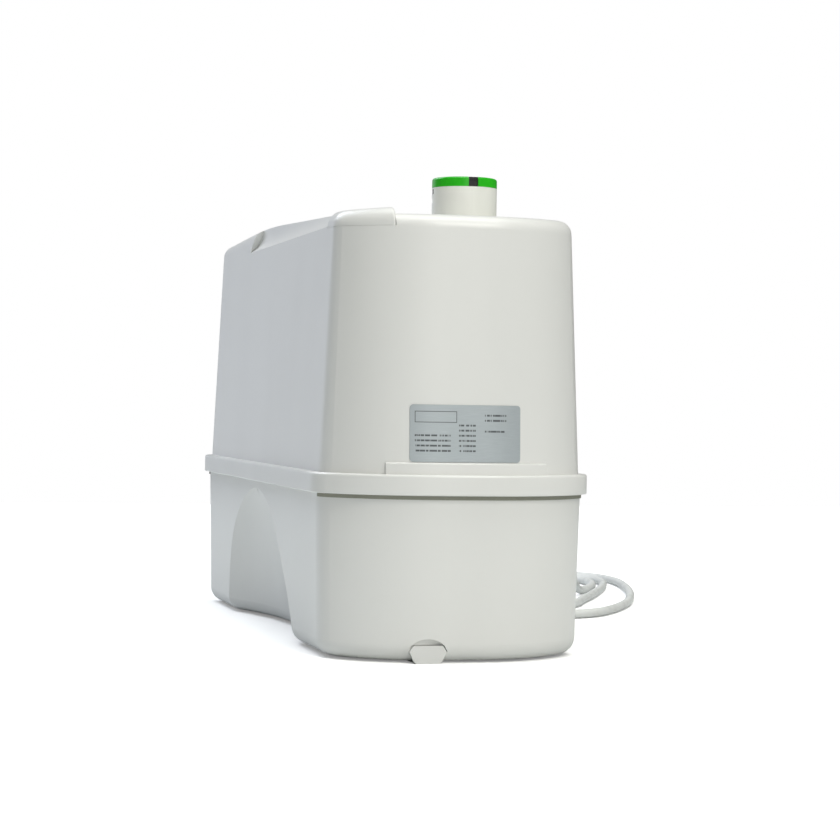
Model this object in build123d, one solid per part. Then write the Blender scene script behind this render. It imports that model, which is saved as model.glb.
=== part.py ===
from build123d import *
import math
import os

# Wastewater lifting unit for one water closet, in millimetres. +X points at the end that carries
# the bare rating plate, +Y at the side that takes the closet, +Z up. The origin is on the floor
# under the middle of the skirt.

# Plan of the skirt, from which every wall is drawn in
body_length = 484.0
body_width = 171.0
end_radius = 84.0
end_turn = 53.0
corner_radius = 30.0
closet_corner_radius = 38.0

# Tank
foot_proud = 1.0
tank_wall = 3.5
tank_floor = 3.5
tank_foot_inset = 6.1
tank_top_inset = 4.0
tank_bottom_edge = 10.0
rim_bottom = 98.0
rim_top = 104.0
rim_inner_inset = 12.0
rim_clearance = 0.3

# Arched recess in the tank's long side, a form turned about an upright axis
recess_x = -14.0
recess_foot_depth = 20.5
recess_radius = 435.0
recess_mid_height = 46.0
recess_mid_draw = 8.0
recess_top_height = 96.0
recess_top_draw = 20.6

# Cover
skirt_bottom = 97.0
skirt_wall = 3.0
cover_flange_thick = 3.0
gasket_thick = 2.0
cover_wall = 3.0
cover_foot_inset = 5.3
cover_draft = 0.0441
ridge_x = -45.0
ridge_height = 268.6
top_fall = 0.032
ridge_blend = 1500.0
top_edge = 8.5
skirt_edge = 1.6

# Scoop along the top edge over the recess, hollow, with a slanted far end
scoop_far_x = -100.0
scoop_near_x = body_length / 2 - 60.0
scoop_far_low = 252.5
scoop_near_low = 254.0
scoop_far_lean = 5.0
scoop_near_lean = 11.0
scoop_far_hollow = 2.2
scoop_near_hollow = 0.6
scoop_end_top_x = -61.0
scoop_end_low_x = -80.0

# Ledge under the rating plate
ledge_width = 97.0
ledge_top = 116.0
ledge_proud = 1.8

# Rating plate
plate_width = 66.0
plate_height = 33.0
plate_y = -2.4
plate_centre = 133.0
plate_thick = 0.5
plate_glue = 0.06
plate_corner = 2.0

# Filter cap in the corner of the top
cap_start_x = body_length / 2 - 66.0
cap_side_y = -43.0
cap_bottom = 253.0
cap_proud = 3.6
cap_gap = 0.1
cap_rim_edge = 9.5
cap_edge = 1.2
filter_x = cap_start_x + 20.0
filter_y = -57.0
filter_radius = 8.0
filter_depth = 16.0
filter_gap = 0.5

# Discharge spigot
spigot_x = body_length / 2 - 102.0
spigot_y = 20.0
spigot_radius = 20.0
spigot_inner_radius = 19.5
spigot_step = 264.0
spigot_bore = 16.0
spigot_top = 288.9
spigot_clearance = 0.4
neck_radius = 17.6
sleeve_thick = 1.4
ring_height = 6.0
ring_lip = 2.0
ring_edge = 1.5
ring_gap = 6.0
ring_gap_angle = 1.0
ring_play = 0.05
window_angle = -105.0
window_arc = 36.0

# Closet inlet on the +Y side
inlet_x = -body_length / 2 + 147.0
inlet_height = 180.0
inlet_bore = 49.5
inlet_boss = 55.0
inlet_boss_stand = 18.0
collar_wall = 3.5
collar_bore = 51.0
collar_neck = 31.0
band_width = 9.0
band_thick = 0.9

# Low inlet on the far end
drain_height = 62.0
drain_bore = 20.3
drain_boss = 24.5
drain_stand = 15.0
drain_seat = 6.0

# Pump deck and the posts that carry it
deck_thick = 4.0
deck_start_x = -24.0
deck_end_x = body_length / 2 - 36.0
post_radius = 6.0
post_places = [(-13.0, -38.0), (-12.0, 52.0), (192.0, -40.0), (192.0, 40.0)]
deck_screw = 2.2
screw_head = 4.5
screw_head_thick = 3.4

# Pump and motor
pump_x = 45.0
pump_y = -10.0
volute_bottom = 9.0
volute_top = 37.0
volute_wall = 3.0
chamber_radius = 31.0
eye_radius = 16.0
scroll_radii = [35.0, 38.0, 41.0, 44.0]
outlet_half = 14.0
outlet_bore = 10.5
impeller_radius = 28.0
impeller_hub = 8.0
impeller_bottom = 14.0
impeller_top = 31.0
basket_outer = 40.0
basket_wall = 3.0
basket_slots = 14
basket_slot = 5.0
cutter_radius = 33.0
cutter_bottom = 44.0
cutter_thick = 4.0
shaft_radius = 5.0
shaft_play = 0.05
motor_radius = 46.0
motor_wall = 3.0
motor_flange = 58.0
motor_flange_thick = 4.0
motor_top = 214.0
bell_thick = 5.0
bearing_outer = 13.0
bearing_height = 8.0
bearing_seat = 3.0
rotor_radius = 25.0
rotor_bottom = 140.0
rotor_height = 50.0
air_gap = 0.8
stator_height = 58.0
winding_height = 9.0
motor_screw = 2.5
motor_screw_circle = 52.5

# Riser and check valve
riser_outer = 14.0
valve_bottom = 106.0
valve_seat = 124.0
valve_seat_thick = 6.0
valve_socket_top = 168.0
spigot_bottom = 160.0
valve_wall = 3.5
seat_bore = 11.0
flap_radius = 13.5
flap_thick = 2.5
flap_lift = 0.1
flap_hinge = 15.0
flap_hinge_height = 3.5
knuckle_radius = 3.2
knuckle_length = 10.0
pin_radius = 1.5
pin_length = 30.0

# Level switch
switch_x = 112.0
switch_y = -46.0
bell_tube = 9.0
bell_tube_wall = 2.0
bell_tube_bottom = 12.0
switch_radius = 15.0
membrane_height = 8.0
membrane_thick = 1.0
switch_cap = 5.0
plunger_radius = 2.0
plunger_head = 6.0
plunger_travel = 1.2
switch_box = (26.0, 14.0, 16.0)

# Electrics
capacitor_x = 174.0
capacitor_y = -22.0
capacitor_radius = 15.0
capacitor_height = 60.0
terminal_length = 64.0
terminal_width = 44.0
terminal_height = 22.0
terminal_wall = 2.0
gland_x = -body_length / 2 + 66.0
gland_height = 150.0
gland_radius = 10.0
gland_stand = 19.6
relief_length = 26.0

# Mains lead
cord_diameter = 6.4
cord_rest = cord_diameter / 2 + 0.1
plug_radius = 19.0
plug_rest = plug_radius + 0.1
plug_length = 36.0
plug_pin = 2.4
plug_pin_length = 19.0
plug_pin_spacing = 19.0

# Feet and floor brackets
foot_radius = 12.0
foot_thick = 3.0
foot_places = [(0.0, 0.0), (190.0, 38.0), (190.0, -44.0), (-190.0, 38.0), (-190.0, -44.0)]
bracket_y = -23.0
bracket_width = 22.0
bracket_height = 9.5
bracket_thick = 2.5
bracket_foot = 36.0
bracket_hole = 2.6
bracket_hole_x = body_length / 2 - 34.0
niche_depth = 4.0
niche_gap = 0.4
niche_arch = 13.8
niche_arch_height = 0.5

os.makedirs("parts", exist_ok=True)


def save(name, shape):
    """Writes one node."""
    export_step(shape, "parts/" + name + ".step")


def cylinder_at(x, y, bottom, radius, height):
    """Upright cylinder on its lower face."""
    return Pos(x, y, bottom) * Cylinder(radius, height, align=(Align.CENTER, Align.CENTER, Align.MIN))


def tube_at(x, y, bottom, outer, inner, height):
    """Upright tube on its lower face."""
    return cylinder_at(x, y, bottom, outer, height) - cylinder_at(x, y, bottom, inner, height)


def box_between(low, high):
    """Box from its lowest corner to its highest."""
    size = [h - l for l, h in zip(low, high)]
    return Pos(*low) * Box(*size, align=(Align.MIN, Align.MIN, Align.MIN))


def rod_along_y(x, z, start, end, radius):
    """Cylinder along +Y from start to end."""
    return Pos(x, start, z) * Rot(-90, 0, 0) * Cylinder(
        radius, end - start, align=(Align.CENTER, Align.CENTER, Align.MIN)
    )


def rod_along_x(start, y, z, radius, length):
    """Cylinder along +X from start."""
    return Pos(start, y, z) * Rot(0, 90, 0) * Cylinder(
        radius, length, align=(Align.CENTER, Align.CENTER, Align.MIN)
    )


def plan_quarter(inset, radius):
    """One quarter of the plan: half a flat end, the large arc and a corner of the given radius."""
    turn = math.radians(end_turn)
    half_pi = math.pi / 2
    flat = body_width / 2 - end_radius * math.sin(turn) - radius * (1 - math.sin(turn))
    centre = (body_length / 2 - end_radius, flat)
    step = end_radius - radius
    corner = (centre[0] + step * math.cos(turn), centre[1] + step * math.sin(turn))
    large = end_radius - inset
    small = radius - inset

    def on_arc(middle, reach, angle):
        return (middle[0] + reach * math.cos(angle), middle[1] + reach * math.sin(angle))

    return [
        (corner[0], corner[1] + small),
        on_arc(corner, small, (turn + half_pi) / 2),
        on_arc(corner, small, turn),
        on_arc(centre, large, turn / 2),
        (centre[0] + large, centre[1]),
    ]


def plan_face(inset, height):
    """Plan of the unit, drawn in all round by inset. The corners on the closet's side are fuller."""
    edges = []
    ends = []
    for number, (side_x, side_y) in enumerate([(1, -1), (1, 1), (-1, 1), (-1, -1)]):
        quarter = plan_quarter(inset, closet_corner_radius if side_y > 0 else corner_radius)
        points = [(side_x * x, side_y * y) for x, y in quarter]
        if number % 2:
            points.reverse()
        edges.append(ThreePointArc(*points[0:3]))
        edges.append(ThreePointArc(*points[2:5]))
        ends.append((points[0], points[-1]))
    for number in range(4):
        edges.append(Line(ends[number][1], ends[(number + 1) % 4][0]))
    return Pos(0, 0, height) * make_face(edges)


def walls_between(low, low_inset, high, high_inset):
    """Solid between two heights of the plan, with its own inset at each."""
    return loft([plan_face(low_inset, low), plan_face(high_inset, high)], ruled=True)


tank_bottom = foot_proud
tank_draft = (tank_foot_inset - tank_top_inset) / (skirt_bottom - tank_bottom)
gasket_bottom = rim_top
gasket_top = rim_top + gasket_thick
flange_top = gasket_top + cover_flange_thick
deck_bottom = rim_top - deck_thick


def tank_inset(height):
    """How far the tank's outer wall is drawn in at a height."""
    return tank_foot_inset - (height - tank_bottom) * tank_draft


def cover_inset(height):
    """How far the cover's outer wall is drawn in at a height."""
    return cover_foot_inset + (height - flange_top) * cover_draft


inlet_boss_reach = body_width / 2 - cover_inset(inlet_height) + inlet_boss_stand
collar_reach = inlet_boss_reach + collar_neck
gland_reach = body_width / 2 - cover_inset(gland_height) + gland_stand
relief_reach = gland_reach + relief_length


def top_height(x):
    """Height of the cover's top at a place along it, before the ridge is rounded."""
    return ridge_height - top_fall * abs(x - ridge_x)


drain_reach = body_length / 2 - tank_inset(drain_height) + drain_stand


def recess_form(grow):
    """Form turned about an upright axis, which hollows the tank's side. Grown, it is the wall's inside."""
    axis_y = -(body_width / 2 - tank_foot_inset) + recess_foot_depth - recess_radius
    below = 10.0
    foot = recess_radius + grow
    top = recess_top_height + grow
    arc = ThreePointArc(
        (foot, 0, 0), (foot - recess_mid_draw, 0, recess_mid_height), (foot - recess_top_draw, 0, top)
    )
    profile = [
        Line((0, 0, -below), (foot, 0, -below)),
        Line((foot, 0, -below), (foot, 0, 0)),
        arc,
        Line((foot - recess_top_draw, 0, top), (0, 0, top)),
        Line((0, 0, top), (0, 0, -below)),
    ]
    return Pos(recess_x, axis_y, 0) * revolve(make_face(profile), Axis.Z)


def niche_outline(gap):
    """Six-sided outline of the bracket's upright tab, in Y and Z about its middle line."""
    top = bracket_height + gap
    half = bracket_width / 2 + gap
    return [
        (-half + 2.7, 0),
        (half - 2.7, 0),
        (half, top * 0.62),
        (half - 2.2, top),
        (-half + 2.2, top),
        (-half, top * 0.62),
    ]


def end_prism(outline, start_x, end_x, base):
    """Prism along X on an outline in Y and Z, beside the bracket's middle line."""
    face = make_face(Polyline(*[(0, bracket_y + y, base + z) for y, z in outline], close=True))
    return Pos(start_x, 0, 0) * extrude(face, amount=end_x - start_x, dir=(1, 0, 0))


def both_ends(shape):
    """The shape and its mirror image at the other end."""
    return [shape, mirror(shape, about=Plane.YZ)]


def make_tank():
    """Lower shell: drafted walls, rim, recess, posts for the deck, low inlet and bracket niches."""
    outer = walls_between(tank_bottom, tank_foot_inset, rim_bottom, tank_inset(rim_bottom))
    outer -= recess_form(0)
    outer = fillet(outer.edges().filter_by_position(Axis.Z, tank_bottom, tank_bottom), tank_bottom_edge)
    inside_low = tank_bottom + tank_floor
    cavity = walls_between(
        inside_low, tank_inset(inside_low) + tank_wall, rim_bottom, tank_inset(rim_bottom) + tank_wall
    )
    cavity -= recess_form(tank_wall)
    cavity = fillet(cavity.edges().filter_by_position(Axis.Z, inside_low, inside_low), tank_bottom_edge - tank_wall)
    rim = extrude(plan_face(skirt_wall + rim_clearance, rim_bottom), rim_top - rim_bottom)
    rim -= extrude(plan_face(rim_inner_inset, rim_bottom), rim_top - rim_bottom)
    tank = outer - cavity + rim

    for x, y in post_places:
        tank += cylinder_at(x, y, tank_bottom, post_radius, deck_bottom - tank_bottom)
        tank -= cylinder_at(x, y, deck_bottom - 14.0, deck_screw, 14.0)

    tank += rod_along_x(-drain_reach, 0, drain_height, drain_boss, drain_stand + drain_seat)
    tank -= rod_along_x(-drain_reach, 0, drain_height, drain_bore, drain_stand + drain_seat + tank_wall)

    niche_x = body_length / 2 - tank_inset(bracket_height) - niche_depth
    block = box_between(
        (bracket_hole_x - 12.0, bracket_y - 17.0, tank_bottom + 1.0),
        (body_length / 2, bracket_y + 17.0, 20.0),
    )
    niche = end_prism(niche_outline(niche_gap), niche_x, body_length / 2, foot_proud)
    niche += end_prism([(-7.9, -5), (7.9, -5), (7.9, 1), (-7.9, 1)], niche_x - 1.0, body_length / 2, foot_proud)
    arch = rod_along_x(niche_x + 1.0, bracket_y, niche_arch_height, niche_arch, 30.0)
    arch &= box_between((0, bracket_y - 9.8, bracket_height), (body_length, bracket_y + 9.8, 30.0))
    pocket = cylinder_at(bracket_hole_x, bracket_y, 0, 6.0, 12.0)
    for piece in both_ends(block):
        tank += piece & outer
    for piece in both_ends(niche) + both_ends(arch) + both_ends(pocket):
        tank -= piece
    for x, y in foot_places:
        tank -= cylinder_at(x, y, 0, foot_radius + 0.2, foot_thick)
    save("tank", tank)


def make_feet_and_brackets():
    """Rubber pads under the tank, and the two brackets that hold it to the floor."""
    save("foot_pads", Compound([cylinder_at(x, y, 0, foot_radius, foot_thick) for x, y in foot_places]))
    tab_x = body_length / 2 - tank_inset(bracket_height) - bracket_thick - 0.6
    tab = end_prism(niche_outline(0), tab_x, tab_x + bracket_thick, foot_proud)
    foot = box_between(
        (tab_x + bracket_thick - bracket_foot, bracket_y - 7.5, 0.0),
        (tab_x + bracket_thick, bracket_y + 7.5, foot_proud),
    )
    bracket = tab + foot - cylinder_at(bracket_hole_x, bracket_y, 0, bracket_hole, 3.0)
    save("floor_brackets", Compound(both_ends(bracket)))


def cover_solid(shrink, edge):
    """Outside of the cover, or its inside when shrunk: drafted walls under a top with a soft ridge."""
    low = gasket_top if shrink else flange_top - 1.0
    high = ridge_height + 20.0
    walls = walls_between(low, cover_inset(low) + shrink, high, cover_inset(high) + shrink)
    far = body_length
    points = [(-far, top_height(-far) - shrink), (ridge_x, ridge_height - shrink), (far, top_height(far) - shrink)]
    roof = FilletPolyline(*[(x, 0, z) for x, z in points], radius=ridge_blend)
    under = make_face(
        roof.edges()
        + [
            Line((far, 0, points[2][1]), (far, 0, 0)),
            Line((far, 0, 0), (-far, 0, 0)),
            Line((-far, 0, 0), (-far, 0, points[0][1])),
        ]
    )
    under = extrude(under, amount=body_width, both=True)
    solid = walls & under
    if edge:
        rim = [e for e in solid.edges() if e.bounding_box().min.Z > top_height(body_length / 2) - 3.0]
        solid = fillet(rim, edge)
    return solid


def scoop_form(deeper):
    """Hollow taken off the top edge over the recess, deepest at its slanted far end."""
    high = ridge_height + 10.0

    def section(x, low, lean, hollow):
        low_y = deeper - (body_width / 2 - cover_inset(low))
        foot = low - deeper
        top_y = low_y + lean
        middle = ((low_y + top_y) / 2 + hollow, (foot + ridge_height) / 2 - hollow)
        edges = [
            ThreePointArc((x, low_y, foot), (x, *middle), (x, top_y, ridge_height)),
            Line((x, top_y, ridge_height), (x, top_y, high)),
            Line((x, top_y, high), (x, -body_width, high)),
            Line((x, -body_width, high), (x, -body_width, foot)),
            Line((x, -body_width, foot), (x, low_y, foot)),
        ]
        return make_face(edges)

    form = loft(
        [
            section(scoop_far_x, scoop_far_low, scoop_far_lean, scoop_far_hollow),
            section(scoop_near_x, scoop_near_low, scoop_near_lean, scoop_near_hollow),
        ],
        ruled=True,
    )
    rise = (scoop_end_top_x - scoop_end_low_x) / (ridge_height - scoop_far_low)
    foot_x = scoop_end_low_x - deeper - 10.0 * rise
    high_x = scoop_end_top_x - deeper + 20.0 * rise
    keep = make_face(
        Polyline(
            (foot_x, 0, scoop_far_low - 10.0),
            (body_length, 0, scoop_far_low - 10.0),
            (body_length, 0, ridge_height + 20.0),
            (high_x, 0, ridge_height + 20.0),
            close=True,
        )
    )
    return form & extrude(keep, amount=body_width, both=True)


def cap_corner(grow, bottom):
    """Corner of the plan that the filter cap fills, as a tall block."""
    return box_between(
        (cap_start_x - grow, -body_width, bottom), (body_length, cap_side_y + grow, ridge_height + 30.0)
    )


def make_cover():
    """Upper shell: skirt, flange, drafted walls, ridged top, scoop, cap seat, inlet boss and ledge."""
    outer = cover_solid(0, top_edge)
    outer -= scoop_form(0)
    outer -= cap_corner(cap_gap, cap_bottom - cap_gap)
    ledge_low = flange_top - 1.0
    ledge = walls_between(
        ledge_low, cover_inset(ledge_low) - ledge_proud, ledge_top, cover_inset(ledge_top) - ledge_proud
    )
    ledge &= box_between((0, -ledge_width / 2, ledge_low), (body_length, ledge_width / 2, ledge_top))
    ledge = fillet(ledge.faces().sort_by(Axis.Z)[-1].edges().sort_by(Axis.X)[1:], ledge_proud * 0.6)
    outer += ledge

    flange = extrude(plan_face(0, skirt_bottom), flange_top - skirt_bottom)
    flange = fillet(flange.faces().sort_by(Axis.Z)[-1].edges(), skirt_edge)
    flange = fillet(flange.faces().sort_by(Axis.Z)[0].edges(), skirt_edge / 2)
    flange -= extrude(plan_face(skirt_wall, skirt_bottom), gasket_top - skirt_bottom)

    cavity = cover_solid(cover_wall, 0)
    cavity -= scoop_form(cover_wall)
    cavity -= cap_corner(cap_gap + cover_wall, cap_bottom - cap_gap - cover_wall)
    well_outer = filter_radius + filter_gap + 2.0
    well_bottom = cap_bottom - filter_depth - filter_gap - 2.0
    cavity -= cylinder_at(filter_x, filter_y, well_bottom, well_outer, cap_bottom - well_bottom)

    wall_y = body_width / 2 - cover_inset(inlet_height)
    boss = rod_along_y(inlet_x, inlet_height, wall_y - cover_wall - 4.0, inlet_boss_reach, inlet_boss)
    cover = (outer + flange + boss) - (cavity - boss)
    cover -= rod_along_y(inlet_x, inlet_height, wall_y - cover_wall - 10.0, inlet_boss_reach + 1.0, inlet_bore)
    cover -= cylinder_at(filter_x, filter_y, cap_bottom - filter_depth - filter_gap, filter_radius + filter_gap, 30.0)
    cover -= cylinder_at(filter_x, filter_y, well_bottom - 1.0, 3.0, 6.0)
    cover -= cylinder_at(spigot_x, spigot_y, 200.0, spigot_radius + spigot_clearance, 100.0)
    gland_wall = body_width / 2 - cover_inset(gland_height)
    cover -= rod_along_y(gland_x, gland_height, gland_wall - 10.0, gland_wall + 5.0, gland_radius - 2.5)
    save("cover", cover)


def make_gasket():
    """Flat rubber ring between the tank's rim and the cover's flange."""
    ring = extrude(plan_face(skirt_wall + 1.5, gasket_bottom), gasket_thick)
    ring -= extrude(plan_face(cover_inset(gasket_top) + cover_wall, gasket_bottom), gasket_thick)
    save("cover_gasket", ring)


def make_filter():
    """Cap over the vent, and the carbon cartridge that hangs from it."""
    low = cap_bottom - 20.0
    high = ridge_height + 20.0
    whole = walls_between(low, cover_inset(low), high, cover_inset(high))
    span = body_width / 2 + cap_side_y
    slope = math.degrees(math.atan2(cap_proud, span))
    far = body_length
    roof = make_face(
        Polyline(
            (0, 0, top_height(0)), (far, 0, top_height(far)), (far, 0, 0), (0, 0, 0), close=True
        )
    )
    roof = extrude(roof, amount=body_width, both=True)
    roof = Pos(0, -body_width / 2 + 8.0, 0) * Rot(slope, 0, 0) * roof
    whole = whole & roof & box_between((0, -body_width, low), (body_length, 0, high + 20.0))
    rim = [e for e in whole.faces().sort_by(Axis.Z)[-1].edges() if e.center().Y < cap_side_y or e.center().X > cap_start_x]
    cap = fillet(rim, cap_rim_edge) & cap_corner(0, cap_bottom)
    inner = [
        e
        for e in cap.edges()
        if e.bounding_box().min.Z > cap_bottom + 1.0
        and (abs(e.center().X - cap_start_x) < 0.01 or abs(e.center().Y - cap_side_y) < 0.01)
    ]
    cap = fillet(inner, cap_edge)
    save("filter_cap", cap)
    body = cylinder_at(filter_x, filter_y, cap_bottom - filter_depth, filter_radius, filter_depth)
    body = chamfer(body.faces().sort_by(Axis.Z)[0].edges(), 1.0)
    save("carbon_filter", body)


def make_spigot():
    """Upright discharge pipe, its rubber sleeve and the split ring that holds a hose on it."""
    neck_bottom = spigot_top - ring_height
    pipe = tube_at(spigot_x, spigot_y, spigot_bottom, spigot_inner_radius, spigot_bore, spigot_step - spigot_bottom)
    pipe += tube_at(spigot_x, spigot_y, spigot_step - 0.5, spigot_radius, spigot_bore, neck_bottom - spigot_step + 0.5)
    pipe += tube_at(spigot_x, spigot_y, neck_bottom - 1.0, neck_radius, spigot_bore, ring_height + 0.7)
    slot_low = neck_bottom - 4.0
    window = tube_at(spigot_x, spigot_y, slot_low, spigot_radius + 1.0, spigot_radius - 2.0, 3.2)
    stop = tube_at(spigot_x, spigot_y, slot_low - 5.2, spigot_radius + 1.0, spigot_radius - 2.0, 2.6)
    pipe -= window & ring_sector(window_angle, window_arc)
    pipe -= stop & ring_sector(window_angle, window_arc * 0.6)
    save("discharge_spigot", pipe)

    sleeve_outer = neck_radius + sleeve_thick
    sleeve_height = ring_height - ring_lip - ring_play
    save("spigot_sleeve", tube_at(spigot_x, spigot_y, neck_bottom, sleeve_outer, neck_radius, sleeve_height))

    ring = tube_at(
        spigot_x, spigot_y, neck_bottom + ring_play, spigot_radius, sleeve_outer + ring_play, ring_height - ring_play
    )
    ring += tube_at(
        spigot_x, spigot_y, spigot_top - ring_lip, spigot_radius, neck_radius + ring_play, ring_lip
    )
    upper = ring.faces().sort_by(Axis.Z)[-1].edges()
    ring = fillet(upper.sort_by(SortBy.LENGTH)[-1], ring_edge)
    gap = Pos(spigot_x, spigot_y, neck_bottom - 1.0) * Rot(0, 0, ring_gap_angle) * Box(
        spigot_radius * 2, ring_gap, ring_height + 3.0, align=(Align.MIN, Align.CENTER, Align.MIN)
    )
    save("lock_ring", ring - gap)


def ring_sector(middle_angle, arc):
    """Wedge about the spigot's axis, to keep one arc of a ring."""
    reach = spigot_radius * 3
    half = arc / 2
    corners = [(0, 0)]
    for share in (-1, 0, 1):
        angle = math.radians(middle_angle + share * half)
        corners.append((reach * math.cos(angle), reach * math.sin(angle)))
    face = make_face(Polyline(*corners, close=True))
    return Pos(spigot_x, spigot_y, spigot_bottom) * extrude(face, amount=spigot_top)


def make_closet_inlet():
    """Rubber collar for the closet's outlet, and the band that clamps it to the cover's boss."""
    wall_y = body_width / 2 - cover_inset(inlet_height)
    seat_start = wall_y + 4.0
    seat_outer = inlet_boss + collar_wall
    neck_outer = collar_bore + collar_wall
    step_y = inlet_boss_reach
    rib = 1.6
    profile = [
        (inlet_boss, seat_start),
        (seat_outer, seat_start),
        (seat_outer, step_y + collar_wall),
        (neck_outer, step_y + collar_wall + 4.0),
        (neck_outer, collar_reach - 12.0),
        (neck_outer + rib, collar_reach - 10.0),
        (neck_outer, collar_reach - 8.0),
        (neck_outer, collar_reach - 4.0),
        (neck_outer + rib, collar_reach - 2.0),
        (neck_outer + rib, collar_reach),
        (collar_bore, collar_reach),
        (collar_bore, step_y + 0.3),
        (inlet_boss, step_y + 0.3),
    ]
    face = make_face(Polyline(*[(r, y, 0) for r, y in profile], close=True))
    collar = Pos(inlet_x, 0, inlet_height) * revolve(face, Axis.Y)
    save("closet_collar", collar)

    band_start = seat_start + 1.5
    band = rod_along_y(inlet_x, inlet_height, band_start, band_start + band_width, seat_outer + band_thick)
    band -= rod_along_y(inlet_x, inlet_height, band_start, band_start + band_width, seat_outer)
    ears_low = inlet_height + seat_outer - 0.6
    lug = box_between((inlet_x - 7.0, band_start, ears_low), (inlet_x + 7.0, band_start + band_width, ears_low + 9.0))
    lug -= rod_along_y(inlet_x, inlet_height, band_start, band_start + band_width, seat_outer)
    middle_y = band_start + band_width / 2
    screw_z = ears_low + 5.0
    lug -= Pos(inlet_x, middle_y, screw_z) * Rot(0, 90, 0) * Cylinder(2.0, 40.0)
    save("collar_band", band + lug)
    screw = Pos(inlet_x - 10.0, middle_y, screw_z) * Rot(0, 90, 0) * Cylinder(
        2.0, 20.0, align=(Align.CENTER, Align.CENTER, Align.MIN)
    )
    head = Pos(inlet_x + 7.0, middle_y, screw_z) * Rot(0, 90, 0) * extrude(RegularPolygon(3.8, 6), amount=3.0)
    save("band_screw", screw + head)


def make_drain_plug():
    """Rubber bung that closes the low inlet when no shower or basin is joined to it."""
    bung = rod_along_x(-drain_reach, 0, drain_height, drain_bore, drain_stand - 1.0)
    flange = rod_along_x(-drain_reach - 3.0, 0, drain_height, drain_boss, 3.0)
    flange = fillet(flange.faces().sort_by(Axis.X)[0].edges(), 1.0)
    save("drain_plug", bung + flange)


def make_deck():
    """Plate on the posts that carries the motor above and the pump below."""
    deck = extrude(plan_face(rim_inner_inset + 0.5, deck_bottom), deck_thick)
    deck &= box_between((deck_start_x, -body_width, deck_bottom), (deck_end_x, body_width, rim_top))
    deck -= cylinder_at(pump_x, pump_y, deck_bottom, bearing_outer - bearing_seat, deck_thick)
    deck -= cylinder_at(spigot_x, spigot_y, deck_bottom, riser_outer + 0.4, deck_thick)
    deck -= cylinder_at(switch_x, switch_y, deck_bottom, bell_tube + 0.2, deck_thick)
    for x, y in post_places:
        deck -= cylinder_at(x, y, deck_bottom, deck_screw, deck_thick)
    for x, y in motor_screw_places():
        deck -= cylinder_at(x, y, deck_bottom, motor_screw, deck_thick)
    save("pump_deck", deck)

    screws = []
    for x, y in post_places:
        shank = cylinder_at(x, y, deck_bottom - 12.0, deck_screw, deck_thick + 12.0)
        head = cylinder_at(x, y, rim_top, screw_head, screw_head_thick)
        head -= Pos(x, y, rim_top + screw_head_thick - 1.6) * extrude(RegularPolygon(2.2, 6), amount=2.0)
        screws.append(shank + head)
    save("deck_screws", Compound(screws))


def motor_screw_places():
    """Four screws round the motor's flange."""
    places = []
    for number in range(4):
        angle = math.radians(45 + 90 * number)
        places.append(
            (pump_x + motor_screw_circle * math.cos(angle), pump_y + motor_screw_circle * math.sin(angle))
        )
    return places


def scroll_face(height):
    """Outline of the volute: a scroll of four growing quarters that runs out along the outlet."""
    first, second, third, last = scroll_radii
    reach = spigot_x - pump_x + outlet_half
    inner_edge = last - 2 * outlet_half
    join = (math.sqrt(first**2 - inner_edge**2), inner_edge)

    def between(radius_a, radius_b, angle):
        radius = (radius_a + radius_b) / 2
        return (radius * math.cos(math.radians(angle)), radius * math.sin(math.radians(angle)))

    middle = math.degrees(math.asin(inner_edge / first)) / 2
    edges = [
        ThreePointArc(join, between(first, first, middle), (first, 0)),
        ThreePointArc((first, 0), between(first, second, -45), (0, -second)),
        ThreePointArc((0, -second), between(second, third, -135), (-third, 0)),
        ThreePointArc((-third, 0), between(third, last, 135), (0, last)),
        Line((0, last), (reach - outlet_half, last)),
        ThreePointArc(
            (reach - outlet_half, last), (reach, last - outlet_half), (reach - outlet_half, inner_edge)
        ),
        Line((reach - outlet_half, inner_edge), join),
    ]
    return Pos(pump_x, pump_y, height) * make_face(edges)


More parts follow.
